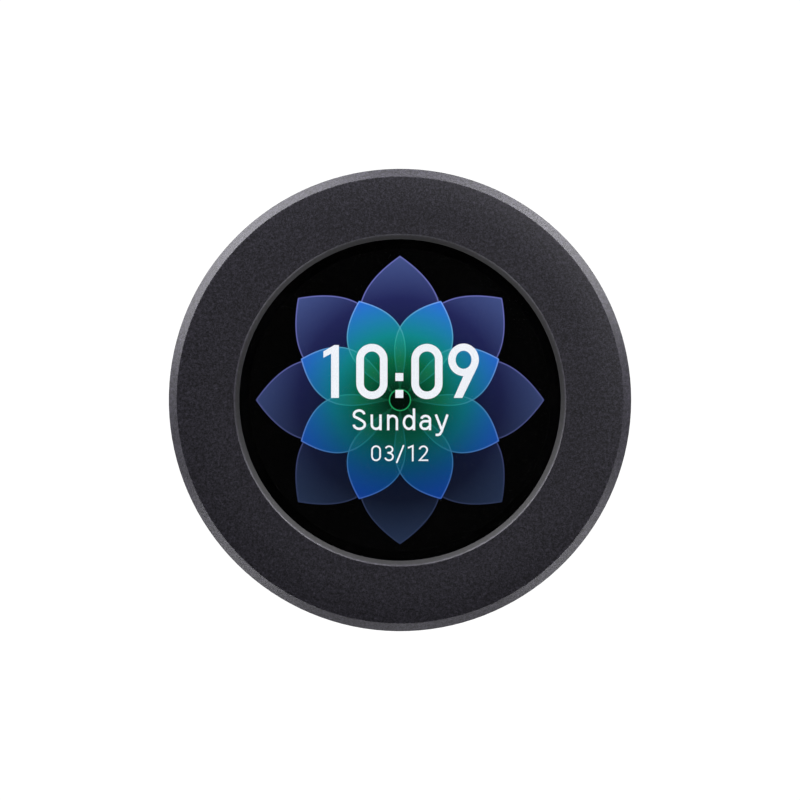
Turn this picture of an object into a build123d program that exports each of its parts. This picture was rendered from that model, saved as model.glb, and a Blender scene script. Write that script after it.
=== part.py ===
from build123d import *
import os
from math import cos, pi, radians, sin, tan

# A round desk display in a turned aluminium case.  It lies on its back with its screen facing +Z.
# The origin is the centre of its rear face.  +X is the right of the screen and +Y is its top.
# The charging socket is in the rim at the bottom of the screen, with a push button each side of it.
# All sizes are in millimetres.

# ---------------------------------------------------------------- driving dimensions: the case
case_r = 25.0
case_depth = 15.0
front_chamfer = 0.88
rear_chamfer = 0.6
window_r = 17.38  # the clear opening over the screen
window_chamfer_width, window_chamfer_depth = 0.57, 0.72  # steeper than 45 degrees
edge_break = 0.1  # the tiny round on each turned edge
lip_t = 0.9  # the lip that the cover glass is bonded behind
pocket_r = 18.6  # the pocket behind the lip
front_plate_t = 2.0
cavity_r = 22.4
cover_r = 23.3
cover_t = 2.0
cover_gap = 0.1
cover_rim_chamfer = 0.25
fence_t, fence_height, fence_play, fence_leg = 0.8, 1.2, 0.3, 4.0  # the corners round the battery

# ---------------------------------------------------------------- driving dimensions: the fasteners
post_angle = 45.0
post_circle_r = 20.0
post_r = 1.8
thread_r = 1.0
thread_play = 0.02
thread_depth = 2.5
stud_clearance = 0.3  # between a standoff's stud and the bottom of its threaded hole
screw_hole_play = 0.08
standoff_width = 3.5  # across the flats
screw_head_r = 1.9
screw_length = 5.5
screw_sink = 0.05  # how far the head sits below the rear face
drive_slot = (2.3, 0.5, 0.7)  # length, width and depth of each slot of the cross recess
drive_taper = 8.0

# ---------------------------------------------------------------- driving dimensions: the screen
gasket_t, gasket_set_back = 0.1, 0.25
glass_r, glass_t, glass_chamfer = 18.4, 0.7, 0.12
touch_film_r, touch_film_t = 18.2, 0.15
bezel_tape_r, bezel_tape_inner_r, bezel_tape_t = 17.75, 16.35, 0.15
cell_r, cell_glass_t = 17.8, 0.4  # two sheets of glass, one behind the other
cell_ledge = (18.0, 19.9)  # width, and how far up from the centre the contact ledge reaches
driver_chip = (11.0, 1.0, 0.25)
driver_chip_gap = 0.15  # from the cell's front sheet
backlight_t, backlight_wall_r = 0.95, 16.9
light_guide_t, optical_films_t, guide_play = 0.6, 0.3, 0.1
reflector_t = 0.1
foam_t, foam_r, foam_inner_r = 0.3, 16.0, 9.0
backlight_lamp = (3.0, 0.55, 0.5)
lamp_count, lamp_pitch = 3, 3.6
lamp_row_inset = 1.2  # from the backlight's wall to the middle of the lamps
lamp_play = 0.15

# ---------------------------------------------------------------- driving dimensions: the ribbons
ribbon_t, ribbon_bend_r = 0.12, 0.8
ribbon_drop = 0.7  # from the board's rear to the level at which a ribbon enters its connector
ribbon_overlap = 0.7  # how much of the cell's ledge the screen's ribbon is bonded to
screen_ribbon_width, screen_ribbon_turn_r, screen_ribbon_end_r = 8.0, 21.2, 16.4
touch_ribbon_width, touch_ribbon_turn_r, touch_ribbon_end_r = 4.0, 20.9, 16.9
touch_ribbon_gap = 0.05  # between the tail's start and the side of the cell
relief_height, relief_reach, relief_play = 0.3, 3.4, 0.5
screen_connector_r, touch_connector_r = 18.0, 18.5  # where each connector's mouth stands
connector_length, connector_height, connector_cheek = 3.0, 1.4, 1.2
connector_slot_depth, connector_slot_play = 1.8, (0.1, 0.04)

# ---------------------------------------------------------------- driving dimensions: the electronics
board_t, board_r, board_hole_r = 1.2, 21.9, 1.1
notch_play, notch_reach = 0.6, 4.0
port_width, port_height, port_depth, port_wall = 8.94, 3.26, 7.35, 0.3
port_mouth_r = 24.3
port_slot_play = 0.46
port_tongue = (6.69, 0.7, 1.1)  # width, thickness, and how far it stops short of the mouth
port_block_depth, port_block_play = 1.6, 0.02
contact_count, contact_pitch, contact_width, contact_t = 12, 0.5, 0.26, 0.06
contact_length, contact_set_back = 3.2, 0.5
foot_width, foot_t, foot_overlap = 1.2, 0.3, 0.17
foot_rows = (0.9, 3.3)  # from the rear of the shell to each pair of feet

# ---------------------------------------------------------------- driving dimensions: the battery
battery_length, battery_width, battery_t = 30.0, 20.0, 4.0
battery_corner_r, battery_edge_r = 1.0, 0.7
battery_tape_t, battery_tape_r = 0.2, 8.0
socket_x, socket_y = -18.0, -7.8
socket_size, socket_play = (4.2, 3.6, 3.2), 0.1
plug_size, plug_reach, plug_z = (3.4, 3.2, 2.0), 1.4, 7.6  # it reaches out of the socket by plug_reach
lead_r, lead_spacing = 0.4, 1.2
lead_run = 10.8  # from the plug to where the leads turn in to the cell, along y
lead_drop = 2.7  # from the plug down to the level at which the leads enter the cell

# ---------------------------------------------------------------- driving dimensions: the buttons
port_angle = 270.0
button_spread = 24.0  # degrees from the charging socket to each button
button_width, button_height = 5.0, 2.0
button_play = 0.1
button_sink = 0.06  # how far a cap sits below the rim
button_travel = 0.25
flange_width, flange_height, flange_t = 6.8, 3.0, 0.7
flange_face_r = 22.5
switch_width, switch_height, switch_depth = 4.0, 3.0, 3.0
switch_face_r, switch_bore_depth, switch_chamfer = 20.3, 2.0, 0.2
plunger_width, plunger_height, plunger_tip_r = 1.8, 1.2, 21.2
plunger_play = 0.1

# ---------------------------------------------------------------- levels, from the front to the back
lip_bottom = case_depth - lip_t
glass_top = lip_bottom - gasket_t
glass_bottom = glass_top - glass_t
touch_film_bottom = glass_bottom - touch_film_t
cell_top = touch_film_bottom - bezel_tape_t
cell_step = cell_top - cell_glass_t  # the front of the rear sheet, where its ledge shows
cell_bottom = cell_step - cell_glass_t
backlight_bottom = cell_bottom - backlight_t
reflector_bottom = backlight_bottom - reflector_t
board_top = reflector_bottom - foam_t
board_bottom = board_top - board_t
plate_bottom = case_depth - front_plate_t
port_z = board_bottom - port_height / 2
ribbon_low_z = board_bottom - ribbon_drop
battery_bottom = cover_t + battery_tape_t

inside_wall_r = cavity_r - 1  # where each cut through the wall starts
cover_recess_r = cover_r + cover_gap
button_angles = {"left": port_angle - button_spread, "right": port_angle + button_spread}
screen_ribbon_angle = 90.0
touch_ribbon_angle = 180.0
rear_face = Plane(origin=(0, 0, 0), x_dir=(1, 0, 0), z_dir=(0, 0, -1))
board_rear = Plane(origin=(0, 0, board_bottom), x_dir=(1, 0, 0), z_dir=(0, 0, -1))


def save(builder, label):
    """Labels a finished piece and writes it under its own name."""
    builder.part.label = label
    export_step(builder.part, f"parts/{label}.step")


def rim_plane(angle, distance, height=port_z):
    """A plane that faces straight out of the rim: its x runs round the rim and its y runs up."""
    outward = Vector(cos(radians(angle)), sin(radians(angle)), 0)
    around = Vector(0, 0, 1).cross(outward)
    origin = outward * distance + Vector(0, 0, height)
    return Plane(origin=origin, x_dir=around, z_dir=outward)


def make_ring(label, outer_r, inner_r, bottom, thickness):
    """A flat ring, or a disc where the inner radius is nothing."""
    with BuildPart() as flat:
        with BuildSketch(Plane.XY.offset(bottom)):
            Circle(outer_r)
            if inner_r:
                Circle(inner_r, mode=Mode.SUBTRACT)
        extrude(amount=thickness)
    save(flat, label)


def make_chip(label, x, y, length, width, height, chamfer_size=0.1):
    """A component soldered to the rear of the board, with its outer edges broken."""
    with BuildPart() as chip:
        with BuildSketch(board_rear):
            with Locations((x, -y)):
                Rectangle(length, width)
        extrude(amount=height)
        chamfer(chip.faces().sort_by(Axis.Z)[0].edges(), chamfer_size)
    save(chip, label)


os.makedirs("parts", exist_ok=True)

# ---------------------------------------------------------------- front case
# One turned cup: rim, front plate, window and the lip that holds the glass.
with BuildPart() as front_case:
    with BuildSketch(Plane.XZ) as case_profile:
        with BuildLine():
            Polyline(
                (cover_recess_r, 0),
                (case_r - rear_chamfer, 0),
                (case_r, rear_chamfer),
                (case_r, case_depth - front_chamfer),
                (case_r - front_chamfer, case_depth),
                (window_r + window_chamfer_width, case_depth),
                (window_r, case_depth - window_chamfer_depth),
                (window_r, lip_bottom),
                (pocket_r, lip_bottom),
                (pocket_r, plate_bottom),
                (cavity_r, plate_bottom),
                (cavity_r, cover_t),
                (cover_recess_r, cover_t),
                close=True,
            )
        make_face()
        front_corners = case_profile.vertices().filter_by_position(
            Axis.Y, case_depth - front_chamfer - edge_break, case_depth + edge_break
        )
        rear_corners = case_profile.vertices().filter_by_position(Axis.Y, -edge_break, rear_chamfer)
        fillet(front_corners + rear_corners.filter_by_position(Axis.X, cover_r + 1, case_r), edge_break)
    revolve(axis=Axis.Z)

    # Four posts hang from the front plate, and the board is clamped against them.
    with BuildSketch(Plane.XY.offset(board_top)):
        with PolarLocations(post_circle_r, 4, start_angle=post_angle):
            Circle(post_r)
    extrude(amount=plate_bottom - board_top)
    with BuildSketch(Plane.XY.offset(board_top)):
        with PolarLocations(post_circle_r, 4, start_angle=post_angle):
            Circle(thread_r)
    extrude(amount=thread_depth, mode=Mode.SUBTRACT)

    # The slot for the charging plug.
    with BuildSketch(rim_plane(port_angle, inside_wall_r)):
        SlotOverall(port_width + port_slot_play, port_height + port_slot_play)
    extrude(amount=case_r, mode=Mode.SUBTRACT)

    # The slots for the button caps, and the flats inside the wall that stop their flanges.
    for angle in button_angles.values():
        with BuildSketch(rim_plane(angle, inside_wall_r)):
            SlotOverall(button_width + 2 * button_play, button_height + 2 * button_play)
        extrude(amount=case_r, mode=Mode.SUBTRACT)
        with BuildSketch(rim_plane(angle, inside_wall_r)):
            Rectangle(flange_width + 2 * button_play, flange_height + 2 * button_play)
        extrude(amount=flange_face_r + button_play - inside_wall_r, mode=Mode.SUBTRACT)

    # A shallow relief in the front plate, where the touch film's tail leaves the pocket.
    with BuildSketch(rim_plane(touch_ribbon_angle, pocket_r - 1, plate_bottom + relief_height / 2)):
        Rectangle(touch_ribbon_width + 2 * relief_play, relief_height)
    extrude(amount=relief_reach, mode=Mode.SUBTRACT)
save(front_case, "front_case")

# ---------------------------------------------------------------- rear cover
with BuildPart() as rear_cover:
    with BuildSketch(Plane.XY):
        Circle(cover_r)
    extrude(amount=cover_t)
    chamfer(rear_cover.faces().sort_by(Axis.Z)[0].edges(), cover_rim_chamfer)

    # Four corners of a low fence keep the battery in its place.
    fence_inner = (battery_length + 2 * fence_play, battery_width + 2 * fence_play)
    fence_outer = (fence_inner[0] + 2 * fence_t, fence_inner[1] + 2 * fence_t)
    with BuildSketch(Plane.XY.offset(cover_t)):
        Rectangle(*fence_outer)
        Rectangle(*fence_inner, mode=Mode.SUBTRACT)
        Rectangle(fence_outer[0] - 2 * fence_leg, fence_outer[1] + 1, mode=Mode.SUBTRACT)
        Rectangle(fence_outer[0] + 1, fence_outer[1] - 2 * fence_leg, mode=Mode.SUBTRACT)
    extrude(amount=fence_height)

    with Locations(rear_face):
        with PolarLocations(post_circle_r, 4, start_angle=post_angle):
            CounterSinkHole(
                radius=thread_r + screw_hole_play,
                counter_sink_radius=screw_head_r + screw_sink + thread_play,
                depth=cover_t,
                counter_sink_angle=90,
            )
save(rear_cover, "rear_cover")

# ---------------------------------------------------------------- cover screws
screw_r = thread_r - thread_play
head_cone = screw_head_r - screw_r

with BuildPart() as one_screw:
    with BuildSketch(Plane.XZ):
        with BuildLine():
            Polyline(
                (0, screw_sink),
                (screw_head_r, screw_sink),
                (screw_r, screw_sink + head_cone),
                (screw_r, screw_length),
                (0, screw_length),
                close=True,
            )
        make_face()
    revolve(axis=Axis.Z)
    slot_length, slot_width, slot_depth = drive_slot
    with BuildSketch(Plane.XY):
        Rectangle(slot_length, slot_width)
        Rectangle(slot_width, slot_length)
    extrude(amount=screw_sink + slot_depth, taper=drive_taper, mode=Mode.SUBTRACT)

with BuildPart() as cover_screws:
    with PolarLocations(post_circle_r, 4, start_angle=post_angle):
        add(one_screw.part)
save(cover_screws, "cover_screws")

# ---------------------------------------------------------------- hexagonal standoffs
# Each clamps the board against a post with its stud, and takes a cover screw in its rear end.
with BuildPart() as standoffs:
    with BuildSketch(Plane.XY.offset(cover_t)):
        with PolarLocations(post_circle_r, 4, start_angle=post_angle):
            RegularPolygon(standoff_width / 2, 6, major_radius=False)
            Circle(thread_r, mode=Mode.SUBTRACT)
    extrude(amount=screw_length)
    with BuildSketch(Plane.XY.offset(cover_t + screw_length)):
        with PolarLocations(post_circle_r, 4, start_angle=post_angle):
            RegularPolygon(standoff_width / 2, 6, major_radius=False)
    extrude(amount=board_bottom - cover_t - screw_length)
    with BuildSketch(Plane.XY.offset(board_bottom)):
        with PolarLocations(post_circle_r, 4, start_angle=post_angle):
            Circle(screw_r)
    extrude(amount=board_t + thread_depth - stud_clearance)
save(standoffs, "standoffs")

# ---------------------------------------------------------------- screen stack, front to back
make_ring("glass_gasket", glass_r, window_r + gasket_set_back, glass_top, gasket_t)

with BuildPart() as cover_glass:
    with BuildSketch(Plane.XY.offset(glass_bottom)):
        Circle(glass_r)
    extrude(amount=glass_t)
    chamfer(cover_glass.edges(), glass_chamfer)
save(cover_glass, "cover_glass")

make_ring("touch_film", touch_film_r, 0, touch_film_bottom, touch_film_t)
make_ring("bezel_tape", bezel_tape_r, bezel_tape_inner_r, cell_top, bezel_tape_t)

# The liquid crystal cell: a round front sheet on a rear sheet with a ledge for its contacts.
with BuildPart() as screen_cell:
    ledge_width, ledge_reach = cell_ledge
    with BuildSketch(Plane.XY.offset(cell_bottom)):
        Circle(cell_r)
        with Locations((0, ledge_reach / 2)):
            Rectangle(ledge_width, ledge_reach)
    extrude(amount=cell_glass_t)
    with BuildSketch(Plane.XY.offset(cell_step)):
        Circle(cell_r)
    extrude(amount=cell_glass_t)
save(screen_cell, "screen_cell")

with BuildPart() as driver:
    driver_length, driver_width, driver_height = driver_chip
    with BuildSketch(Plane.XY.offset(cell_step)):
        with Locations((0, cell_r + driver_chip_gap + driver_width / 2)):
            Rectangle(driver_length, driver_width)
    extrude(amount=driver_height)
save(driver, "screen_driver_chip")

# The backlight: a white frame with three lamps in its top edge, which shine into the light guide.
lamp_length, lamp_width, lamp_height = backlight_lamp
lamp_row_y = backlight_wall_r - lamp_row_inset
lamp_row_length = lamp_count * lamp_pitch + 2 * lamp_play
guide_r = backlight_wall_r - guide_play

with BuildPart() as backlight_frame:
    with BuildSketch(Plane.XY.offset(backlight_bottom)):
        Circle(cell_r)
        Circle(backlight_wall_r, mode=Mode.SUBTRACT)
    extrude(amount=backlight_t)
save(backlight_frame, "backlight_frame")

with BuildPart() as light_guide:
    with BuildSketch(Plane.XY.offset(backlight_bottom)):
        Circle(guide_r)
        with Locations((0, guide_r)):
            lamp_bay = 2 * (guide_r - lamp_row_y + lamp_width / 2 + lamp_play)
            Rectangle(lamp_row_length, lamp_bay, mode=Mode.SUBTRACT)
    extrude(amount=light_guide_t)
save(light_guide, "light_guide")

with BuildPart() as backlight_lamps:
    with BuildSketch(Plane.XY.offset(backlight_bottom)):
        with Locations((0, lamp_row_y)):
            with GridLocations(lamp_pitch, 0, lamp_count, 1):
                Rectangle(lamp_length, lamp_width)
    extrude(amount=lamp_height)
save(backlight_lamps, "backlight_lamps")

make_ring("optical_films", guide_r, 0, backlight_bottom + light_guide_t, optical_films_t)
make_ring("reflector_film", cell_r, 0, reflector_bottom, reflector_t)
make_ring("foam_pad", foam_r, foam_inner_r, board_top, foam_t)

# ---------------------------------------------------------------- circuit board
with BuildPart() as circuit_board:
    with BuildSketch(Plane.XY.offset(board_bottom)):
        Circle(board_r)
        with PolarLocations(post_circle_r, 4, start_angle=post_angle):
            Circle(board_hole_r, mode=Mode.SUBTRACT)
        # A notch for each ribbon, in the board's edge.
        with Locations((0, screen_ribbon_turn_r - notch_play + notch_reach / 2)):
            Rectangle(screen_ribbon_width + 2 * notch_play, notch_reach, mode=Mode.SUBTRACT)
        with Locations((-touch_ribbon_turn_r + notch_play - notch_reach / 2, 0)):
            Rectangle(notch_reach, touch_ribbon_width + 2 * notch_play, mode=Mode.SUBTRACT)
    extrude(amount=board_t)
save(circuit_board, "circuit_board")


# ---------------------------------------------------------------- ribbons and their connectors
def make_ribbon(label, angle, start_r, start_z, turn_r, end_r, width):
    """A flexible ribbon that leaves the screen, turns down past the board and comes back under it."""
    side = Plane(origin=(0, 0, 0), x_dir=rim_plane(angle, 0).z_dir, z_dir=-rim_plane(angle, 0).x_dir)
    with BuildPart() as ribbon:
        with BuildSketch(side.offset(-width / 2)):
            with BuildLine() as ribbon_line:
                FilletPolyline(
                    (start_r, start_z),
                    (turn_r, start_z),
                    (turn_r, ribbon_low_z),
                    (end_r, ribbon_low_z),
                    radius=ribbon_bend_r,
                )
            trace(ribbon_line.line, line_width=ribbon_t)
        extrude(amount=width)
    save(ribbon, label)


def make_connector(label, angle, mouth_r, width):
    """A low connector on the rear of the board, with its slot facing the rim."""
    with BuildPart() as connector:
        with BuildSketch(rim_plane(angle, mouth_r, board_bottom - connector_height / 2)):
            Rectangle(width + 2 * connector_cheek, connector_height)
        extrude(amount=-connector_length)
        with BuildSketch(rim_plane(angle, mouth_r, ribbon_low_z)):
            Rectangle(width + connector_slot_play[0], ribbon_t + connector_slot_play[1])
        extrude(amount=-connector_slot_depth, mode=Mode.SUBTRACT)
    save(connector, label)


make_ribbon(
    "screen_ribbon",
    screen_ribbon_angle,
    ledge_reach - ribbon_overlap,
    cell_step + ribbon_t / 2,
    screen_ribbon_turn_r,
    screen_ribbon_end_r,
    screen_ribbon_width,
)
make_connector("screen_connector", screen_ribbon_angle, screen_connector_r, screen_ribbon_width)
make_ribbon(
    "touch_ribbon",
    touch_ribbon_angle,
    cell_r + touch_ribbon_gap,
    touch_film_bottom - ribbon_t / 2,
    touch_ribbon_turn_r,
    touch_ribbon_end_r,
    touch_ribbon_width,
)
make_connector("touch_connector", touch_ribbon_angle, touch_connector_r, touch_ribbon_width)

# ---------------------------------------------------------------- charging socket
port_rear_r = port_mouth_r - port_depth

with BuildPart() as port_shell:
    with BuildSketch(rim_plane(port_angle, port_rear_r)):
        SlotOverall(port_width, port_height)
        SlotOverall(port_width - 2 * port_wall, port_height - 2 * port_wall, mode=Mode.SUBTRACT)
    extrude(amount=port_depth)
    # Two pairs of feet at the sides, soldered to the board.
    for foot_row in foot_rows:
        with BuildSketch(Plane.XY.offset(port_z)):
            with Locations((0, -port_rear_r - foot_row - foot_width / 2)):
                with GridLocations(port_width + foot_t - 2 * foot_overlap, 0, 2, 1):
                    Rectangle(foot_t, foot_width)
        extrude(amount=board_bottom - port_z)
save(port_shell, "port_shell")

with BuildPart() as port_tongue_block:
    tongue_width, tongue_t, tongue_short = port_tongue
    with BuildSketch(rim_plane(port_angle, port_rear_r)):
        SlotOverall(
            port_width - 2 * port_wall - 2 * port_block_play,
            port_height - 2 * port_wall - 2 * port_block_play,
        )
    extrude(amount=port_block_depth)
    with BuildSketch(rim_plane(port_angle, port_rear_r + port_block_depth)):
        Rectangle(tongue_width, tongue_t)
    extrude(amount=port_depth - port_block_depth - tongue_short)
save(port_tongue_block, "port_tongue")

with BuildPart() as port_contacts:
    contact_end_r = port_mouth_r - tongue_short - contact_set_back
    for side_of_tongue in (1, -1):
        contact_z = side_of_tongue * (tongue_t + contact_t) / 2
        with BuildSketch(rim_plane(port_angle, contact_end_r - contact_length)):
            with Locations((0, contact_z)):
                with GridLocations(contact_pitch, 0, contact_count, 1):
                    Rectangle(contact_width, contact_t)
        extrude(amount=contact_length)
save(port_contacts, "port_contacts")

# ---------------------------------------------------------------- push buttons and their switches
for side_name, angle in button_angles.items():
    # The cap: a pill whose outer face follows the rim, a flange that keeps it in, and a pusher.
    with BuildPart() as cap:
        with BuildSketch(rim_plane(angle, flange_face_r)):
            SlotOverall(button_width, button_height)
        extrude(amount=case_r - flange_face_r + 1)
        with BuildSketch(Plane.XY):
            Circle(case_r - button_sink)
        extrude(amount=case_depth, mode=Mode.INTERSECT)
        with BuildSketch(rim_plane(angle, flange_face_r)):
            Rectangle(flange_width, flange_height)
        extrude(amount=-flange_t)
        with BuildSketch(rim_plane(angle, flange_face_r - flange_t)):
            Rectangle(plunger_width, plunger_height)
        extrude(amount=plunger_tip_r - (flange_face_r - flange_t))
    save(cap, f"{side_name}_button")

    with BuildPart() as switch_body:
        with BuildSketch(rim_plane(angle, switch_face_r, board_bottom - switch_height / 2)):
            Rectangle(switch_width, switch_height)
        extrude(amount=-switch_depth)
        chamfer(switch_body.edges().filter_by(Axis.Z), switch_chamfer)
        with BuildSketch(rim_plane(angle, switch_face_r)):
            Rectangle(plunger_width + 2 * plunger_play, plunger_height + 2 * plunger_play)
        extrude(amount=-switch_bore_depth, mode=Mode.SUBTRACT)
    save(switch_body, f"{side_name}_switch_body")

    with BuildPart() as plunger:
        with BuildSketch(rim_plane(angle, plunger_tip_r)):
            Rectangle(plunger_width, plunger_height)
        plunger_length = plunger_tip_r - switch_face_r + switch_bore_depth - button_travel - plunger_play
        extrude(amount=-plunger_length)
    save(plunger, f"{side_name}_switch_plunger")

# ---------------------------------------------------------------- components on the board's rear
make_chip("processor_chip", 0, -7.0, 7.0, 7.0, 0.9)
make_chip("memory_chip", 8.6, -6.2, 5.2, 5.3, 1.6)
make_chip("clock_crystal", -6.6, -6.4, 2.5, 3.2, 0.8)
make_chip("motion_sensor", 7.5, 2.0, 3.0, 3.0, 0.9)
make_chip("charger_chip", -10.2, -11.4, 3.0, 3.0, 1.0)
make_chip("power_coil", -12.2, -7.7, 3.0, 3.0, 1.5, 0.3)
make_chip("antenna", 19.4, 0.0, 2.0, 5.2, 1.1)

# Small resistors and capacitors, in rows beside the chips that they serve.
passive_size = (1.0, 0.5, 0.5)
passive_pitch = 1.3
passive_rows = [
    ((0.0, -1.2), 6),  # row centre, and how many stand in the row
    ((0.0, -12.0), 4),
    ((7.8, -10.4), 3),
    ((-8.6, -1.6), 4),
    ((7.6, 6.0), 4),
    ((15.6, 4.6), 2),
    ((-8.0, 5.5), 4),
]

with BuildPart() as passives:
    passive_length, passive_width, passive_height = passive_size
    with BuildSketch(board_rear):
        for (row_x, row_y), row_count in passive_rows:
            with Locations((row_x, -row_y)):
                with GridLocations(passive_pitch, 0, row_count, 1):
                    Rectangle(passive_width, passive_length)
    extrude(amount=passive_height)
save(passives, "small_components")

# ---------------------------------------------------------------- battery, its plug and its leads
plug_rear_y = socket_y + socket_size[1] / 2 + plug_reach

make_ring("battery_tape", battery_tape_r, 0, cover_t, battery_tape_t)

with BuildPart() as battery_cell:
    with BuildSketch(Plane.XY.offset(battery_bottom)):
        RectangleRounded(battery_length, battery_width, battery_corner_r)
    extrude(amount=battery_t)
    fillet(battery_cell.faces().sort_by(Axis.Z)[-1].edges(), battery_edge_r)
    fillet(battery_cell.faces().sort_by(Axis.Z)[0].edges(), battery_edge_r)
save(battery_cell, "battery_cell")

with BuildPart() as battery_socket:
    with BuildSketch(Plane.XY.offset(board_bottom - socket_size[2])):
        with Locations((socket_x, socket_y)):
            Rectangle(socket_size[0], socket_size[1])
    extrude(amount=socket_size[2])
    with BuildSketch(rim_plane(90, socket_y + socket_size[1] / 2, plug_z)):
        with Locations((-socket_x, 0)):
            Rectangle(plug_size[0] + socket_play, plug_size[2] + socket_play)
    extrude(amount=-(plug_size[1] - plug_reach + socket_play), mode=Mode.SUBTRACT)
save(battery_socket, "battery_socket")

with BuildPart() as battery_plug:
    with BuildSketch(rim_plane(90, plug_rear_y, plug_z)):
        with Locations((-socket_x, 0)):
            Rectangle(plug_size[0], plug_size[2])
    extrude(amount=-plug_size[1])
save(battery_plug, "battery_plug")


def lead_route(side):
    """The route of one battery lead, from the plug to the end of the cell: side is +1 or -1."""
    half = side * lead_spacing / 2
    turn_y, low_z = plug_rear_y + lead_run - half, plug_z - lead_drop
    return [
        Vector(socket_x + half, plug_rear_y, plug_z),
        Vector(socket_x - 0.2 + half, plug_rear_y + lead_run / 3, plug_z - 0.15 * lead_drop),
        Vector(socket_x - 0.4 + half, plug_rear_y + 0.7 * lead_run, plug_z - 0.55 * lead_drop),
        Vector(socket_x + 0.4 + 0.8 * half, turn_y, low_z),
        Vector(-battery_length / 2, turn_y, low_z),
    ]


def bend_radii(points):
    """The largest comfortable arc at each corner of a route: it takes up just under half of each run."""
    run_share = 0.45
    radii = []
    for before, corner, after in zip(points, points[1:], points[2:]):
        run_in, run_out = corner - before, after - corner
        half_turn = radians(run_in.get_angle(run_out)) / 2
        radii.append(run_share * min(run_in.length, run_out.length) / tan(half_turn))
    return radii


for lead_label, side in (("battery_lead_red", 1), ("battery_lead_black", -1)):
    route = lead_route(side)
    radii = bend_radii(route)
    with BuildPart() as lead:
        with BuildLine() as lead_line:
            FilletPolyline(*route, radius=radii)
        lead_path = lead_line.wire()
        with BuildSketch(Plane(origin=lead_path @ 0, z_dir=lead_path % 0)):
            Circle(lead_r)
        sweep(path=lead_path)
    save(lead, lead_label)
    volume_share = lead.part.volume / (pi * lead_r**2 * lead_path.length)
    print(lead_label, "bend radii", [round(r, 1) for r in radii])
    print(lead_label, "length", round(lead_path.length, 2), "volume share", round(volume_share, 4))
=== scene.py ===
import math

import bmesh
import bpy
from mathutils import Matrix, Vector


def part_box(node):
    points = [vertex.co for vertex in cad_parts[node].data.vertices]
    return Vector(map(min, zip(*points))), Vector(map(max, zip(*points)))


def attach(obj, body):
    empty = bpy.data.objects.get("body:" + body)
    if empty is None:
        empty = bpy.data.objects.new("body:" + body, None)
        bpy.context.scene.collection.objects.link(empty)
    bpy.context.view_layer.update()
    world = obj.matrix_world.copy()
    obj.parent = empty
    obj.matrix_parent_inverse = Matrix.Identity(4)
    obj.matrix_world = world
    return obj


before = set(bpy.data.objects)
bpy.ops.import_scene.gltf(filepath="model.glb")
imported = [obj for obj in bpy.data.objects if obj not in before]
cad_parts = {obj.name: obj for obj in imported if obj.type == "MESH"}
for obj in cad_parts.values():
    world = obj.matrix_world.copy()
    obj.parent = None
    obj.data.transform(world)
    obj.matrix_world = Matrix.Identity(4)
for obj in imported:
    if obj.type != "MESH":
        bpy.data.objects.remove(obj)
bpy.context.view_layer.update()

MM = 0.001
CASE = "display_case"  # the CAD body that everything but the buttons belongs to

# ---------------------------------------------------------------- places read from the frame
case_low, case_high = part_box("front_case")
case_radius = case_high.x
case_top = case_high.z
window_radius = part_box("glass_gasket")[1].x - 1.02 * MM  # the gasket reaches this far behind the lip
cell_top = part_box("screen_cell")[1].z
rim_chamfer = 0.9 * MM

# ---------------------------------------------------------------- the picture on the screen
petal_count = 8
petal_step = 2 * math.pi / petal_count
outer_length, outer_fullness = 15.6 * MM, 1.45
inner_length, inner_fullness = 11.6 * MM, 1.35
petal_power = 1.4  # the higher it is, the further out a petal is widest
outline_width = 0.11 * MM
outline_blur = 0.03 * MM
hub_radius, hub_line_width = 1.14 * MM, 0.1 * MM
screen_light = 1.18  # makes up for what the glass and the touch film take away
unlit = (2, 2, 2)

# ---------------------------------------------------------------- the lettering on the screen
letter_gap = 0.02 * MM  # from the cell up to the lit lettering
letter_depth = 0.02 * MM
digit_height, digits_foot = 5.72 * MM, 0.23 * MM  # each line's height, and the level that it stands on
day_height, day_foot = 2.29 * MM, -3.27 * MM
date_height, date_foot = 1.75 * MM, -6.64 * MM


# ================================================================ small helpers for node trees
def linear(value):
    """One channel of a screen colour, 0 to 255, as a linear value."""
    share = value / 255
    return share / 12.92 if share <= 0.04045 else ((share + 0.055) / 1.055) ** 2.4


def screen_colour(red, green, blue):
    return (linear(red), linear(green), linear(blue), 1.0)


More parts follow.
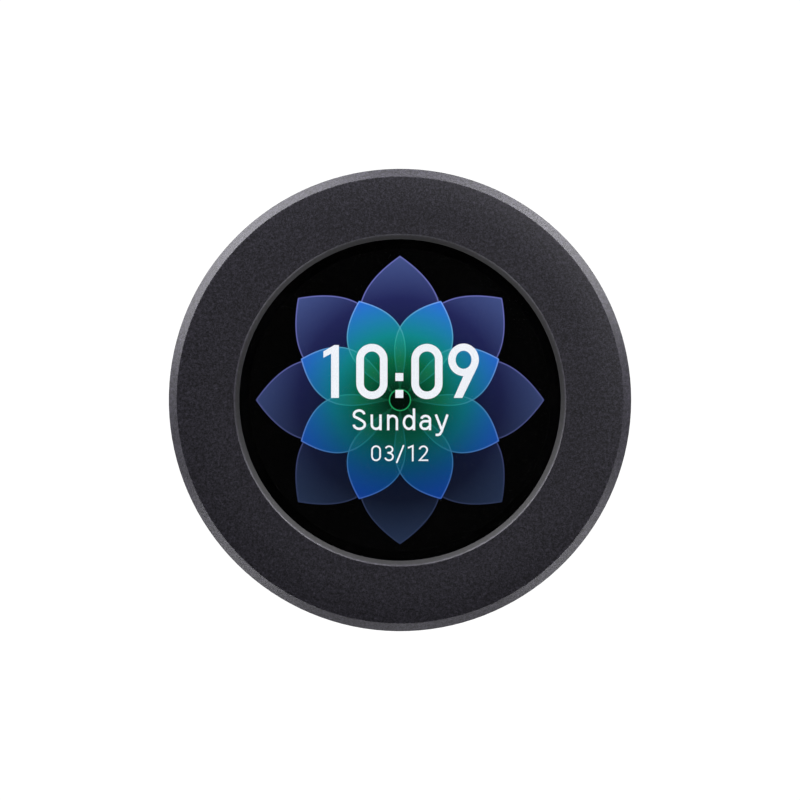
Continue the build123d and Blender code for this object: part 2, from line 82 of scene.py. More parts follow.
class Tree:
    """A material's node tree, with short calls that add a node and join its sockets."""

    def __init__(self, name):
        self.material = bpy.data.materials.new(name)
        self.material.use_nodes = True
        self.nodes = self.material.node_tree.nodes
        self.links = self.material.node_tree.links
        self.nodes.clear()
        self.place = self.node("TexCoord").outputs["Object"]

    def node(self, kind, inputs=None, **settings):
        made = self.nodes.new("ShaderNode" + kind)
        for key, value in settings.items():
            setattr(made, key, value)
        for key, value in (inputs or {}).items():
            self.feed(made.inputs[key], value)
        return made

    def feed(self, socket, value):
        if isinstance(value, bpy.types.NodeSocket):
            self.links.new(value, socket)
        else:
            socket.default_value = value

    def math(self, operation, *values):
        return self.node("Math", dict(enumerate(values)), operation=operation).outputs[0]

    def mix(self, factor, first, second, blend="MIX"):
        made = self.node("Mix", data_type="RGBA", blend_type=blend)
        self.feed(made.inputs[0], factor)
        self.feed(made.inputs[6], first)
        self.feed(made.inputs[7], second)
        return made.outputs[2]

    def span(self, value, low, high, to_low=0.0, to_high=1.0, smooth=False):
        made = self.node(
            "MapRange",
            {"Value": value, "From Min": low, "From Max": high, "To Min": to_low, "To Max": to_high},
            interpolation_type="SMOOTHSTEP" if smooth else "LINEAR",
        )
        return made.outputs[0]

    def ramp(self, value, *stops):
        """A colour ramp: each stop is a position and a colour in screen values."""
        made = self.node("ValToRGB", {"Fac": value})
        elements = made.color_ramp.elements
        elements[0].position, elements[0].color = stops[0][0], screen_colour(*stops[0][1])
        elements[1].position, elements[1].color = stops[-1][0], screen_colour(*stops[-1][1])
        for position, colour in stops[1:-1]:
            elements.new(position).color = screen_colour(*colour)
        return made.outputs[0]

    def axes(self):
        return self.node("SeparateXYZ", {0: self.place}).outputs

    def distance(self, x, y):
        return self.math("SQRT", self.math("ADD", self.math("MULTIPLY", x, x), self.math("MULTIPLY", y, y)))

    def noise(self, size, detail=3.0, roughness=0.55, stretch=(1, 1, 1)):
        where = self.place
        if stretch != (1, 1, 1):
            where = self.node("Mapping", {"Vector": self.place, "Scale": stretch}).outputs[0]
        inputs = {"Vector": where, "Scale": 1 / size, "Detail": detail, "Roughness": roughness}
        return self.node("TexNoise", inputs).outputs[0]

    def cells(self, size, feature="F1", randomness=1.0, metric="EUCLIDEAN"):
        made = self.node(
            "TexVoronoi",
            {"Vector": self.place, "Scale": 1 / size, "Randomness": randomness},
            feature=feature,
        )
        if feature != "DISTANCE_TO_EDGE":
            made.distance = metric
        return made.outputs

    def shade(self, colour, value, low, high):
        """The colour, darker and lighter as the value goes from 0.3 to 0.7."""
        tone = self.span(value, 0.3, 0.7, low, high)
        grey = self.node("CombineColor", {0: tone, 1: tone, 2: tone}).outputs[0]
        if not isinstance(colour, bpy.types.NodeSocket):
            colour = screen_colour(*colour)
        return self.mix(1.0, colour, grey, "MULTIPLY")

    def bump(self, height, depth, strength=1.0, normal=None):
        made = self.node("Bump", {"Height": height, "Distance": depth, "Strength": strength})
        if normal is not None:
            self.feed(made.inputs["Normal"], normal)
        return made.outputs[0]

    def principled(self, **inputs):
        shader = self.node("BsdfPrincipled")
        for key, value in inputs.items():
            self.feed(shader.inputs[key.replace("_", " ")], value)
        output = self.node("OutputMaterial")
        self.links.new(shader.outputs[0], output.inputs["Surface"])
        return self.material


# ================================================================ materials of the outside
def blasted_aluminium(name, colour, crowned_and_chamfer_shaded=False):
    """Bead-blasted, black anodised aluminium: fine pits with a light speckle, and softened edges."""
    t = Tree(name)
    fine = t.noise(0.13 * MM, detail=2.0, roughness=0.8)
    coarse = t.noise(0.34 * MM, detail=2.0)
    cloud = t.noise(7 * MM, detail=2.0)
    base = t.shade(t.shade(colour, fine, 0.0, 2.0), cloud, 0.95, 1.05)
    base = t.shade(base, coarse, 0.5, 1.5)
    normal = t.node("Bevel", {"Radius": 0.07 * MM}, samples=4).outputs[0]
    rough = t.span(fine, 0.25, 0.75, 0.4, 0.54)
    if crowned_and_chamfer_shaded:
        # The face falls away towards the rim. The window's chamfer gets painted shade: its base colour is
        # darkened there to tone down the light it catches, and it is made rougher.
        x, y, z = t.axes()
        radius = t.distance(x, y)
        fall = t.span(radius, case_radius - 5 * MM, case_radius - rim_chamfer)
        crown = t.math("MULTIPLY", t.math("POWER", fall, 2.4), -1.0)
        normal = t.bump(crown, 0.2 * MM, 1.0, normal)
        across = t.span(radius, window_radius, window_radius + 0.6 * MM)
        # Painted shade: darkest just past the window's edge, back to the full colour at the flat face.
        chamfer_shade_tones = ((0.0, 160), (0.15, 115), (0.6, 130), (0.8, 250), (0.95, 255))
        painted_chamfer_shade = t.ramp(across, *((position, (tone, tone, tone)) for position, tone in chamfer_shade_tones))
        base = t.mix(1.0, base, painted_chamfer_shade, "MULTIPLY")
        rough = t.math("ADD", rough, t.span(across, 0.7, 0.9, 0.16, 0.0))
    grain = t.math("MULTIPLY_ADD", coarse, 0.5, fine)
    return t.principled(
        Base_Color=base,
        Metallic=0.25,
        Roughness=rough,
        Normal=t.bump(grain, 0.012 * MM, 0.5, normal),
    )


def moulded_plastic(name, colour, roughness=0.5, grain=0.12, depth=0.006):
    """Moulded plastic with a spark-eroded texture and a faint cloudiness."""
    t = Tree(name)
    fine = t.noise(grain * MM, detail=2.0, roughness=0.7)
    cloud = t.noise(4 * MM)
    base = t.shade(t.shade(colour, fine, 0.88, 1.12), cloud, 0.93, 1.07)
    rough = t.span(fine, 0.3, 0.7, roughness - 0.05, roughness + 0.07)
    return t.principled(Base_Color=base, Roughness=rough, Normal=t.bump(fine, depth * MM, 0.6))


def machined_metal(name, colour, roughness, centre=0.0, pitch=0.08):
    """Turned or drawn metal: small scratches, and fine rings round axes at +-centre in x and y."""
    t = Tree(name)
    x, y, z = t.axes()
    radius = t.distance(*(t.math("SUBTRACT", t.math("ABSOLUTE", axis), centre) for axis in (x, y)))
    rings = t.math("SINE", t.math("MULTIPLY", radius, 2 * math.pi / (pitch * MM)))
    scratch = t.noise(0.12 * MM, detail=4.0, roughness=0.7)
    wear = t.noise(1.2 * MM)
    height = t.math("MULTIPLY_ADD", rings, 0.3, scratch)
    return t.principled(
        Base_Color=t.shade(t.shade(colour, scratch, 0.9, 1.1), wear, 0.92, 1.08),
        Metallic=1.0,
        Roughness=t.span(wear, 0.3, 0.7, roughness - 0.06, roughness + 0.08),
        Normal=t.bump(height, 0.003 * MM, 0.5),
    )


def clear_glass(name, tint):
    """Clear cover glass, with the faintest smear in its gloss."""
    t = Tree(name)
    smear = t.noise(6 * MM, detail=4.0, stretch=(1, 2.5, 1))
    return t.principled(
        Base_Color=t.shade(tint, smear, 0.995, 1.0),
        Roughness=t.span(smear, 0.35, 0.75, 0.0, 0.018),
        Transmission_Weight=1.0,
        IOR=1.5,
    )


def touch_sensor(name):
    """A nearly clear film, with the sensor's diamond grid only just showing in it."""
    t = Tree(name)
    x, y, z = t.axes()
    pitch = 3.6 * MM
    slopes = [t.math("ADD", x, y), t.math("SUBTRACT", x, y)]
    lines = [t.math("PINGPONG", slope, pitch / 2) for slope in slopes]
    grid = t.span(t.math("MINIMUM", *lines), 0.0, 0.04 * MM, 1.0, 0.0)
    return t.principled(
        Base_Color=t.mix(grid, screen_colour(20, 20, 22), screen_colour(60, 58, 52)),
        Roughness=t.span(grid, 0.0, 1.0, 0.05, 0.2),
        Alpha=t.span(grid, 0.0, 1.0, 0.02, 0.035),
    )


# ================================================================ the picture on the screen
def petal_ring(t, angle, radius, length, fullness, turn=0.0):
    """Two petals cover a point at most: its own and its nearest neighbour.

    Returns how far inside each of them the point lies, in metres. Half a petal's width is
    length * fullness * s**power * (1 - s), where s runs from 0 at the hub to 1 at the tip.
    """
    own = t.math("PINGPONG", t.math("ADD", angle, turn), petal_step / 2)
    depths = []
    for off_axis in (own, t.math("SUBTRACT", petal_step, own)):
        along = t.math("DIVIDE", t.math("MULTIPLY", radius, t.math("COSINE", off_axis)), length)
        across = t.math("MULTIPLY", radius, t.math("SINE", off_axis))
        along = t.math("MAXIMUM", along, 0.001)
        narrowing = t.math("POWER", along, petal_power - 1)
        width = t.math("MULTIPLY", t.math("MULTIPLY", narrowing, along), t.math("SUBTRACT", 1.0, along))
        slope_tail = t.math("MULTIPLY_ADD", along, -(petal_power + 1), petal_power)
        slope = t.math("MULTIPLY", t.math("MULTIPLY", narrowing, slope_tail), fullness)
        steep = t.math("SQRT", t.math("MULTIPLY_ADD", slope, slope, 1.0))
        gap = t.math("SUBTRACT", t.math("MULTIPLY", width, length * fullness), across)
        depths.append(t.math("DIVIDE", gap, steep))
    return depths


def inside(t, depth):
    return t.span(depth, -outline_blur, outline_blur, smooth=True)


def edge_line(t, depth, width):
    away = t.math("ABSOLUTE", t.math("SUBTRACT", depth, width / 2))
    return t.span(away, width * 0.2, width * 0.8, 1.0, 0.0, smooth=True)


def rosette_colour(t):
    """A plain rosette: two rings of petals half a step apart, green at the hub and blue at the tips."""
    x, y, z = t.axes()
    radius = t.distance(x, y)
    angle = t.math("ARCTAN2", x, y)
    share = t.math("DIVIDE", radius, outer_length)
    upper = t.span(y, -0.8 * outer_length, 0.9 * outer_length, smooth=True)

    # Each fill is a plain fade along the petals, and all of them brighten a little towards the top.
    outer_fill = t.mix(
        upper,
        t.ramp(share, (0.4, (5, 12, 24)), (0.7, (14, 20, 36)), (1.0, (34, 46, 70))),
        t.ramp(share, (0.4, (16, 24, 60)), (0.7, (34, 38, 86)), (1.0, (66, 80, 132))),
    )
    outer_laps = t.mix(
        upper,
        t.ramp(share, (0.4, (8, 24, 58)), (0.85, (20, 36, 80))),
        t.ramp(share, (0.4, (24, 56, 150)), (0.85, (52, 70, 176))),
    )
    inner_fill = t.mix(
        upper,
        t.ramp(share, (0.06, (3, 26, 14)), (0.3, (6, 54, 56)), (0.5, (8, 54, 96)), (0.75, (16, 56, 136))),
        t.ramp(
            share,
            (0.06, (4, 40, 18)),
            (0.28, (10, 112, 66)),
            (0.45, (18, 140, 140)),
            (0.75, (44, 106, 212)),
        ),
    )
    lap_glow = t.mix(upper, screen_colour(3, 26, 32), screen_colour(16, 58, 40))
    inner_laps = t.mix(1.0, inner_fill, lap_glow, "ADD")
    outer_line = t.mix(upper, screen_colour(42, 52, 80), screen_colour(104, 108, 180))
    outer_line = t.mix(t.span(share, 0.25, 0.5, smooth=True), screen_colour(*unlit), outer_line)
    inner_line = t.mix(
        upper,
        t.ramp(share, (0.1, (10, 54, 40)), (0.4, (18, 88, 112)), (0.75, (60, 96, 180))),
        t.ramp(share, (0.1, (14, 90, 40)), (0.4, (40, 170, 150)), (0.75, (120, 160, 240))),
    )

    colour = screen_colour(*unlit)
    rings = (
        (petal_ring(t, angle, radius, outer_length, outer_fullness), outer_fill, outer_laps, outer_line),
        (
            petal_ring(t, angle, radius, inner_length, inner_fullness, petal_step / 2),
            inner_fill,
            inner_laps,
            inner_line,
        ),
    )
    for (own, neighbour), fill, laps, line in rings:
        colour = t.mix(inside(t, own), colour, fill)
        colour = t.mix(t.math("MULTIPLY", inside(t, own), inside(t, neighbour)), colour, laps)
        for depth in (own, neighbour):
            colour = t.mix(edge_line(t, depth, outline_width), colour, line, "LIGHTEN")

    # A plain green ring round the hub.
    colour = t.mix(t.math("LESS_THAN", radius, hub_radius), colour, screen_colour(2, 15, 8))
    hub = t.math("ABSOLUTE", t.math("SUBTRACT", radius, hub_radius))
    hub_line = t.span(hub, 0.2 * hub_line_width, hub_line_width, 1.0, 0.0, smooth=True)
    return t.mix(hub_line, colour, screen_colour(30, 150, 90), "LIGHTEN")


def screen_panel(name):
    """The screen's cell: black glass whose upper face shows the rosette."""
    t = Tree(name)
    x, y, z = t.axes()
    face = t.span(z, cell_top - 0.05 * MM, cell_top - 0.03 * MM)
    evenness = t.noise(8 * MM, detail=1.0)
    picture = t.shade(rosette_colour(t), evenness, 0.97, 1.03)
    return t.principled(
        Base_Color=screen_colour(4, 4, 5),
        Roughness=t.span(evenness, 0.3, 0.7, 0.05, 0.1),
        Emission_Color=t.mix(face, (0, 0, 0, 1), picture),
        Emission_Strength=screen_light,
    )


def lit_lettering(name):
    """The lettering's cold white, as even as the screen's backlight."""
    t = Tree(name)
    evenness = t.noise(8 * MM, detail=1.0)
    return t.principled(
        Base_Color=screen_colour(20, 20, 22),
        Roughness=t.span(evenness, 0.3, 0.7, 0.25, 0.3),
        Emission_Color=t.shade((232, 236, 242), evenness, 0.98, 1.02),
        Emission_Strength=screen_light,
    )


# ================================================================ materials of the inside
def dyed_film(name, colour, roughness, gloss=0.5):
    """Thin film or tape: even colour, a slight ripple and a soft gloss."""
    t = Tree(name)
    wave = t.noise(2.4 * MM, detail=2.0)
    fibre = t.noise(0.16 * MM, detail=2.0)
    return t.principled(
        Base_Color=t.shade(t.shade(colour, fibre, 0.95, 1.05), wave, 0.94, 1.06),
        Roughness=t.span(fibre, 0.3, 0.7, roughness - 0.05, roughness + 0.05),
        Normal=t.bump(wave, 0.01 * MM, 0.5),
        Specular_IOR_Level=gloss,
    )


def cell_foam(name):
    """Open black foam: small round cells with soft walls."""
    t = Tree(name)
    cell = t.cells(0.22 * MM)[0]
    tone = t.noise(1.5 * MM)
    base = t.mix(t.span(cell, 0.1, 0.6), screen_colour(12, 12, 13), screen_colour(38, 38, 40))
    return t.principled(
        Base_Color=t.shade(base, tone, 0.9, 1.1), Roughness=0.92, Normal=t.bump(cell, 0.05 * MM, 0.8)
    )


def dotted_guide(name):
    """Clear acrylic printed with white dots that change in size from one side to the other."""
    t = Tree(name)
    x, y, z = t.axes()
    spot = t.cells(0.5 * MM, randomness=0.0)[0]
    growth = t.span(y, -16 * MM, 16 * MM, 0.16, 0.4)
    dots = t.math("LESS_THAN", spot, growth)
    return t.principled(
        Base_Color=t.mix(dots, screen_colour(226, 232, 236), screen_colour(252, 252, 252)),
        Roughness=t.span(dots, 0.0, 1.0, 0.06, 0.6),
        Transmission_Weight=0.6,
        IOR=1.49,
    )


def circuit_mask(name):
    """Green solder mask over copper tracks, with gold pads here and there."""
    t = Tree(name)
    track = t.cells(1.1 * MM, feature="DISTANCE_TO_EDGE", randomness=0.35)[0]
    tracks = t.span(track, 0.05, 0.09, 1.0, 0.0, smooth=True)
    pads = t.math("LESS_THAN", t.cells(2.3 * MM, randomness=0.7, metric="CHEBYCHEV")[0], 0.11)
    weave = t.noise(0.2 * MM, detail=2.0)
    mask = t.mix(tracks, screen_colour(10, 34, 24), screen_colour(20, 62, 42))
    base = t.mix(pads, t.shade(mask, weave, 0.92, 1.08), screen_colour(212, 176, 96))
    return t.principled(
        Base_Color=base,
        Metallic=pads,
        Roughness=t.span(weave, 0.3, 0.7, 0.3, 0.4),
        Normal=t.bump(tracks, 0.02 * MM, 0.6),
    )


def printed_ribbon(name):
    """Amber polyimide with copper conductors running along it."""
    t = Tree(name)
    x, y, z = t.axes()
    wire = t.span(t.math("PINGPONG", x, 0.2 * MM), 0.07 * MM, 0.1 * MM)
    fine = t.noise(0.3 * MM)
    base = t.mix(wire, screen_colour(150, 84, 24), screen_colour(198, 132, 62))
    return t.principled(
        Base_Color=t.shade(base, fine, 0.93, 1.07),
        Roughness=t.span(fine, 0.3, 0.7, 0.24, 0.36),
        Normal=t.bump(wire, 0.012 * MM, 0.6),
    )


def wound_coil(name):
    """Grey ferrite with the winding's fine turns showing at its sides."""
    t = Tree(name)
    x, y, z = t.axes()
    turns = t.span(t.math("PINGPONG", z, 0.12 * MM), 0.02 * MM, 0.1 * MM)
    grit = t.noise(0.14 * MM, detail=3.0)
    base = t.mix(turns, screen_colour(48, 46, 46), screen_colour(74, 72, 72))
    return t.principled(
        Base_Color=t.shade(base, grit, 0.88, 1.12), Roughness=0.62, Normal=t.bump(turns, 0.02 * MM, 0.7)
    )


def pouch_foil(name):
    """The battery's aluminium pouch: bright, softly crinkled foil."""
    t = Tree(name)
    crease = t.noise(3.2 * MM, detail=4.0, roughness=0.6)
    grain = t.noise(0.2 * MM, stretch=(1, 7, 1))
    return t.principled(
        Base_Color=t.shade((196, 199, 203), grain, 0.96, 1.04),
        Metallic=0.9,
        Roughness=t.span(grain, 0.3, 0.7, 0.28, 0.4),
        Normal=t.bump(t.math("MULTIPLY_ADD", grain, 0.1, crease), 0.08 * MM, 0.5),
    )


def glazed_ceramic(name, colour, roughness=0.35):
    """Fired ceramic or resin with a fine speckle."""
    t = Tree(name)
    speck = t.noise(0.09 * MM, detail=2.0)
    return t.principled(
        Base_Color=t.shade(colour, speck, 0.9, 1.1),
        Roughness=t.span(speck, 0.3, 0.7, roughness - 0.05, roughness + 0.08),
        Normal=t.bump(speck, 0.004 * MM, 0.5),
    )


screw_circle = 20.0 * MM  # the radius of the circle that the four screws stand on
screw_centre = screw_circle / math.sqrt(2)
black_aluminium = blasted_aluminium("blasted_aluminium", (44, 42, 51), crowned_and_chamfer_shaded=True)
button_aluminium = blasted_aluminium("button_aluminium", (46, 44, 53))
cover_plastic = moulded_plastic("cover_plastic", (30, 30, 32), 0.5, grain=0.16, depth=0.01)
screw_steel = machined_metal("screw_steel", (92, 92, 96), 0.34, screw_centre, 0.1)
standoff_brass = machined_metal("standoff_brass", (196, 158, 84), 0.28, screw_centre)
plated_steel = machined_metal("plated_steel", (190, 190, 192), 0.3, 0.0, 0.3)
contact_gold = machined_metal("contact_gold", (226, 186, 104), 0.24)
black_adhesive = dyed_film("black_adhesive", (7, 7, 8), 0.8, gloss=0.1)
chip_resin = glazed_ceramic("chip_resin", (26, 26, 28), 0.5)
port_plastic = moulded_plastic("port_plastic", (20, 20, 21), 0.45, depth=0.003)
connector_plastic = moulded_plastic("connector_plastic", (222, 214, 194), 0.42, depth=0.003)
plunger_plastic = moulded_plastic("plunger_plastic", (58, 56, 54), 0.4, depth=0.003)
backlight_plastic = moulded_plastic("backlight_plastic", (232, 233, 235), 0.42, depth=0.003)

node_materials = {
    "front_case": black_aluminium,
    "rear_cover": cover_plastic,
    "cover_screws": screw_steel,
    "standoffs": standoff_brass,
    "glass_gasket": black_adhesive,
    "cover_glass": clear_glass("cover_glass", (255, 255, 255)),
    "touch_film": touch_sensor("touch_film"),
    "bezel_tape": black_adhesive,
    "screen_cell": screen_panel("screen_cell"),
    "screen_driver_chip": chip_resin,
    "backlight_frame": backlight_plastic,
    "light_guide": dotted_guide("light_guide"),
    "backlight_lamps": glazed_ceramic("lamp_resin", (238, 214, 92), 0.3),
    "optical_films": dyed_film("optical_films", (226, 230, 234), 0.5),
    "reflector_film": dyed_film("reflector_film", (214, 218, 222), 0.22),
    "foam_pad": cell_foam("foam_pad"),
    "circuit_board": circuit_mask("circuit_mask"),
    "screen_ribbon": printed_ribbon("screen_ribbon"),
    "touch_ribbon": printed_ribbon("touch_ribbon"),
    "screen_connector": connector_plastic,
    "touch_connector": connector_plastic,
    "port_shell": plated_steel,
    "port_tongue": port_plastic,
    "port_contacts": contact_gold,
    "left_button": button_aluminium,
    "right_button": button_aluminium,
    "left_switch_body": plated_steel,
    "right_switch_body": plated_steel,
    "left_switch_plunger": plunger_plastic,
    "right_switch_plunger": plunger_plastic,
    "processor_chip": chip_resin,
    "memory_chip": chip_resin,
    "clock_crystal": plated_steel,
    "motion_sensor": chip_resin,
    "charger_chip": chip_resin,
    "power_coil": wound_coil("power_coil"),
    "antenna": glazed_ceramic("antenna_ceramic", (214, 222, 226), 0.3),
    "small_components": glazed_ceramic("small_ceramic", (150, 118, 84), 0.4),
    "battery_tape": dyed_film("battery_tape", (206, 150, 40), 0.34),
    "battery_cell": pouch_foil("pouch_foil"),
    "battery_socket": connector_plastic,
    "battery_plug": connector_plastic,
    "battery_lead_red": moulded_plastic("lead_red", (170, 22, 18), 0.38, depth=0.002),
    "battery_lead_black": moulded_plastic("lead_black", (22, 22, 23), 0.38, depth=0.002),
}
for node_name, node_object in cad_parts.items():
    for material_slot in node_object.material_slots:
        material_slot.material = node_materials[node_name]


# ================================================================ the lettering on the screen
def arc(centre, radii, start, end, steps):
    """Points along an ellipse's arc, from the start angle to the end angle in degrees."""
    turns = [math.radians(start + (end - start) * i / steps) for i in range(steps + 1)]
    return [(centre[0] + radii[0] * math.cos(a), centre[1] + radii[1] * math.sin(a)) for a in turns]


def stadium(centre, width, height):
    """An upright outline with a half round top and bottom."""
    radius, straight = width / 2, (height - width) / 2
    top = arc((centre[0], centre[1] + straight), (radius, radius), 0, 180, 24)
    bottom = arc((centre[0], centre[1] - straight), (radius, radius), 180, 360, 24)
    return top + bottom


def box_outline(left, bottom, width, height):
    right, top = left + width, bottom + height
    return [(left, bottom), (right, bottom), (right, top), (left, top)]


# Each figure is one digit high, from 0 to 1, and is a list of outlines. A nought's and a nine's second
# outline is a hole.
digit_stroke = 0.143
zero_centre, zero_width, zero_height = (0.295, 0.5), 0.59, 1.045
nine_centre = (0.29, 0.721)
ONE = [[(0.146, 0), (0.293, 0), (0.293, 1), (0.207, 1), (0, 0.878), (0, 0.76), (0.146, 0.838)]]
ZERO = [
    stadium(zero_centre, zero_width, zero_height),
    stadium(zero_centre, zero_width - 2 * digit_stroke, zero_height - 2 * digit_stroke),
]
NINE = [
    [(0.105, 0), (0.267, 0), (0.545, 0.571)]
    + arc(nine_centre, (0.29, 0.307), -29, 262, 40)
    + [(0.286, 0.412)],
    arc(nine_centre, (0.151, 0.172), 0, 360, 32)[:-1],
]
COLON = [box_outline(0, 0, 0.15, 0.15), box_outline(0, 0.32, 0.15, 0.15)]


def flat_outlines(figures):
    """A filled text-like curve for (left edge, outlines) pairs, one digit high."""
    curve = bpy.data.curves.new("figures", "CURVE")
    curve.dimensions = "2D"
    curve.fill_mode = "BOTH"
    curve.extrude = letter_depth / 2
    for left, outlines in figures:
        for outline in outlines:
            spline = curve.splines.new("POLY")
            spline.points.add(len(outline) - 1)
            spline.use_cyclic_u = True
            for point, (x, y) in zip(spline.points, outline):
                point.co = (left + x * digit_height, y * digit_height, 0, 1)
    return curve


def letter_piece(name, mesh, place):
    """Lays the mesh on the screen's cell, as a piece that rides with the case."""
    for vertex in mesh.vertices:
        vertex.co.x += place[0]
        vertex.co.y += place[1]
        vertex.co.z += cell_top + letter_gap + letter_depth / 2
    mesh.materials.clear()
    mesh.materials.append(lettering)
    piece = bpy.data.objects.new(name, mesh)
    bpy.context.collection.objects.link(piece)
    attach(piece, CASE)


def filled_mesh(curve):
    """The curve as a closed mesh whose faces look outward."""
    source = bpy.data.objects.new("outline_source", curve)
    bpy.context.collection.objects.link(source)
    mesh = bpy.data.meshes.new_from_object(source.evaluated_get(bpy.context.evaluated_depsgraph_get()))
    bpy.data.objects.remove(source)
    shape = bmesh.new()
    shape.from_mesh(mesh)
    bmesh.ops.remove_doubles(shape, verts=shape.verts, dist=0.001 * MM)
    bmesh.ops.recalc_face_normals(shape, faces=shape.faces)
    shape.to_mesh(mesh)
    shape.free()
    return mesh


# Single-stroke letters, one capital high: each is its width and the middle lines of its strokes.
LOW = 0.743  # the small letters' height
LETTERS = {
    "S": (
        0.84,
        [
            arc((0.405, 0.735), (0.245, 0.195), 5, 215, 18)
            + [(0.28, 0.60), (0.42, 0.525), (0.56, 0.44)]
            + arc((0.415, 0.27), (0.26, 0.205), 35, -178, 20)
        ],
    ),
    "u": (
        0.776,
        [
            [(0.165, LOW), (0.165, 0.27)] + arc((0.37, 0.27), (0.205, 0.205), 180, 360, 18),
            [(0.575, LOW), (0.575, 0)],
        ],
    ),
    "n": (
        0.777,
        [
            [(0.575, 0), (0.575, 0.47)] + arc((0.37, 0.47), (0.205, 0.205), 0, 180, 18),
            [(0.165, LOW), (0.165, 0)],
        ],
    ),
    "d": (0.794, [arc((0.365, 0.37), (0.235, 0.305), 0, 360, 32), [(0.605, 1.03), (0.605, 0)]]),
    "a": (
        0.765,
        [
            arc((0.36, 0.5), (0.205, 0.175), 165, 0, 14) + [(0.565, 0.0)],
            [(0.565, 0.425), (0.35, 0.425)]
            + arc((0.32, 0.245), (0.195, 0.18), 90, 270, 14)
            + [(0.42, 0.075), (0.565, 0.2)],
        ],
    ),
    "y": (
        0.68,
        [
            [(0.63, LOW), (0.355, -0.05), (0.27, -0.19), (0.17, -0.225), (0.07, -0.215)],
            [(0.08, LOW), (0.355, 0.03)],
        ],
    ),
    "0": (0.82, [stadium((0.41, 0.5), 0.5, 0.87)]),
    "3": (
        0.8,
        [
            arc((0.39, 0.735), (0.22, 0.195), 160, -80, 18) + [(0.3, 0.535)],
            [(0.3, 0.535)] + arc((0.39, 0.285), (0.245, 0.22), 80, -165, 20),
        ],
    ),
    "/": (0.6, [[(0.06, -0.1), (0.5, 1.0)]]),
    "1": (0.72, [[(0.46, 0), (0.46, 0.955), (0.4, 0.93), (0.16, 0.83)]]),
    "2": (
        0.82,
        [arc((0.4, 0.71), (0.235, 0.22), 172, -20, 16) + [(0.5, 0.44), (0.16, 0.07), (0.7, 0.07)]],
    ),
}


def ribbon(shape, line, width, closed):
    """A closed solid along the line, with square ends and a steady width."""
    count = len(line)
    rows = []
    for i, (x, y) in enumerate(line):
        before = line[i - 1] if closed or i else line[i]
        after = line[(i + 1) % count] if closed or i < count - 1 else line[i]
        first = Vector((x - before[0], y - before[1])).normalized()
        second = Vector((after[0] - x, after[1] - y)).normalized()
        along = (first + second).normalized()
        spread = width / 2 / max(0.5, along.dot(first if first.length else second))
        side = Vector((-along.y, along.x)) * spread
        rows.append(
            [
                shape.verts.new((x + sign * side.x, y + sign * side.y, level * letter_depth / 2))
                for sign, level in ((1, 1), (-1, 1), (-1, -1), (1, -1))
            ]
        )
    for i in range(count if closed else count - 1):
        near, far = rows[i], rows[(i + 1) % count]
        for j in range(4):
            shape.faces.new((near[j], near[(j + 1) % 4], far[(j + 1) % 4], far[j]))
    if not closed:
        shape.faces.new(rows[0][::-1])
        shape.faces.new(rows[-1])


def word_mesh(text, height, weight):
    """The word's strokes, centred on x and merged where they cross."""
    total = sum(LETTERS[c][0] for c in text) * height
    left, word = -total / 2, None
    for letter in text:
        advance, lines = LETTERS[letter]
        for line in lines:
            closed = line[0] == line[-1] or letter == "0"
            scaled = [(left + x * height, y * height) for x, y in line]
            if math.dist(scaled[0], scaled[-1]) < 0.001 * MM:
                scaled, closed = scaled[:-1], True
            shape = bmesh.new()
            ribbon(shape, scaled, weight * height, closed)
            bmesh.ops.recalc_face_normals(shape, faces=shape.faces)
            stroke_mesh = bpy.data.meshes.new("stroke")
            shape.to_mesh(stroke_mesh)
            shape.free()
            word = merged(word, stroke_mesh) if word else stroke_mesh
        left += advance * height
    return word


def merged(first, second):
    """One mesh that holds both solids, joined where they overlap."""
    base = bpy.data.objects.new("first", first)
    other = bpy.data.objects.new("second", second)
    for made in (base, other):
        bpy.context.collection.objects.link(made)
    union = base.modifiers.new("union", "BOOLEAN")
    union.operation, union.object, union.solver = "UNION", other, "EXACT"
    bpy.context.view_layer.update()
    mesh = bpy.data.meshes.new_from_object(base.evaluated_get(bpy.context.evaluated_depsgraph_get()))
    for made in (base, other):
        bpy.data.objects.remove(made)
    return mesh


lettering = lit_lettering("lit_lettering")
digit_lefts = (-8.29 * MM, -4.73 * MM, -0.5 * MM, 1.23 * MM, 5.22 * MM)
figures = zip(digit_lefts, (ONE, ZERO, COLON, ZERO, NINE))
letter_piece("clock_digits", filled_mesh(flat_outlines(figures)), (0, digits_foot))
letter_piece("day_name", word_mesh("Sunday", day_height, 0.114), (-0.05 * MM, day_foot))
letter_piece("date_digits", word_mesh("03/12", date_height, 0.1), (-0.02 * MM, date_foot))

# ================================================================ camera, stage and light
background_light = 1.06  # just past white, so that the background comes out clean
frame_width = 86.35 * MM  # the width of the view at the front face
camera_height = 600 * MM
sensor_width = 36.0

camera_data = bpy.data.cameras.new("camera")
camera_data.sensor_width = sensor_width
camera_data.lens = sensor_width * camera_height / frame_width
camera_data.clip_start, camera_data.clip_end = 0.01, 20
camera = bpy.data.objects.new("camera", camera_data)
camera.location = (0, 0, case_top + camera_height)
bpy.context.collection.objects.link(camera)
bpy.context.scene.camera = camera
bpy.context.scene.view_settings.view_transform = "Standard"


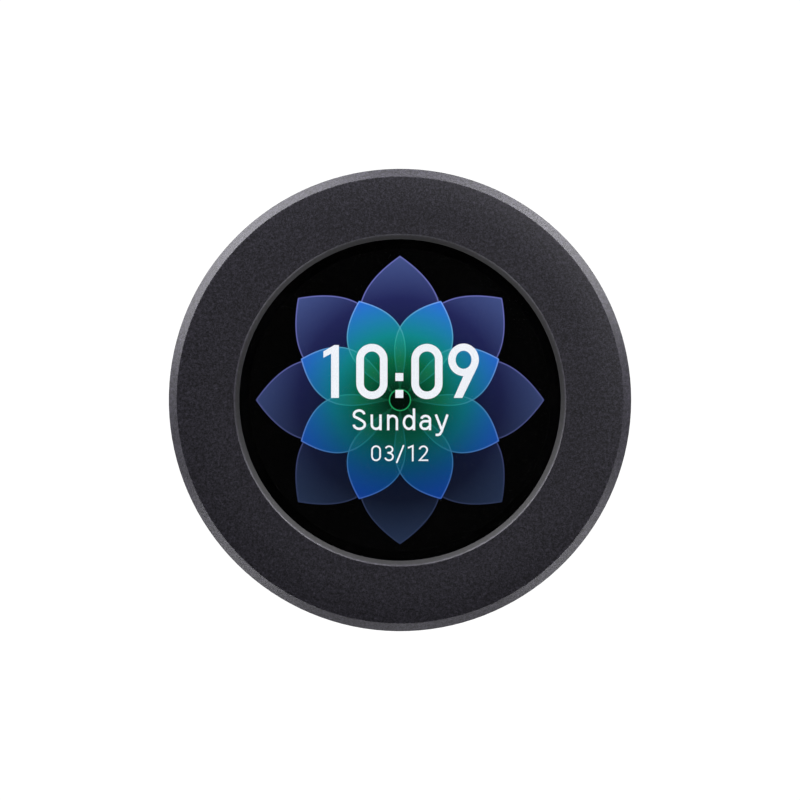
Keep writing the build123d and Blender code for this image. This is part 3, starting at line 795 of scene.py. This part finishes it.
def make_floor():
    """A white floor. Only the camera sees it shine, so that it doesn't light the display from below."""
    mesh = bpy.data.meshes.new("floor")
    shape = bmesh.new()
    bmesh.ops.create_circle(shape, cap_ends=True, radius=6.0, segments=96)
    shape.to_mesh(mesh)
    shape.free()
    floor = bpy.data.objects.new("floor", mesh)
    floor.location.z = case_low.z - 0.05 * MM
    bpy.context.collection.objects.link(floor)
    t = Tree("floor_paper")
    paper = t.node("BsdfDiffuse", {"Color": (0.3, 0.3, 0.3, 1)})
    glow = t.node("Emission", {"Color": (1, 1, 1, 1), "Strength": background_light})
    seen = t.node("LightPath").outputs["Is Camera Ray"]
    mix = t.node("MixShader", {0: seen, 1: paper.outputs[0], 2: glow.outputs[0]})
    output = t.node("OutputMaterial")
    t.links.new(mix.outputs[0], output.inputs["Surface"])
    mesh.materials.append(t.material)


def soft_light(name, azimuth, elevation, distance, size, power):
    """A soft box that faces the display from this direction, hidden from the camera."""
    data = bpy.data.lights.new(name, "AREA")
    data.shape = "RECTANGLE"
    data.size, data.size_y = size
    data.energy = power
    light = bpy.data.objects.new(name, data)
    a, e = math.radians(azimuth), math.radians(elevation)
    away = Vector((math.cos(a) * math.cos(e), math.sin(a) * math.cos(e), math.sin(e)))
    light.location = Vector((0, 0, case_top)) + away * distance
    light.rotation_euler = away.to_track_quat("Z", "Y").to_euler()
    light.visible_camera = False
    bpy.context.collection.objects.link(light)


def make_world():
    """White where the camera looks past everything, and a dim room for light and reflections."""
    world = bpy.data.worlds.new("studio")
    bpy.context.scene.world = world
    world.use_nodes = True
    nodes, links = world.node_tree.nodes, world.node_tree.links
    nodes.clear()
    seen, room = nodes.new("ShaderNodeBackground"), nodes.new("ShaderNodeBackground")
    seen.inputs["Color"].default_value = (1, 1, 1, 1)
    seen.inputs["Strength"].default_value = background_light
    room.inputs["Color"].default_value = (0.002, 0.002, 0.0022, 1)
    path, mix = nodes.new("ShaderNodeLightPath"), nodes.new("ShaderNodeMixShader")
    output = nodes.new("ShaderNodeOutputWorld")
    links.new(path.outputs["Is Camera Ray"], mix.inputs[0])
    links.new(room.outputs[0], mix.inputs[1])
    links.new(seen.outputs[0], mix.inputs[2])
    links.new(mix.outputs[0], output.inputs["Surface"])


make_floor()
make_world()
# Low soft boxes all round graze the case, so its face stays dark while its chamfers catch the light.
low_elevation, low_distance, low_size = 5.2, 0.5, (0.32, 0.09)
low_lights = {  # azimuth in degrees, power in watts
    "upper_left_side": (150, 2.55),
    "upper_left": (120, 2.65),
    "upper_right": (66, 1.65),
    "upper_right_side": (40, 2.6),
    "lower_left": (224, 1.42),
    "lower_right": (318, 1.45),
    "bottom": (272, 0.58),
    "left": (185, 0.11),
}
for light_name, (light_azimuth, light_power) in low_lights.items():
    soft_light(light_name, light_azimuth, low_elevation, low_distance, low_size, light_power)
soft_light("high_right", 45, 58, 0.3, (0.12, 0.12), 0.24)
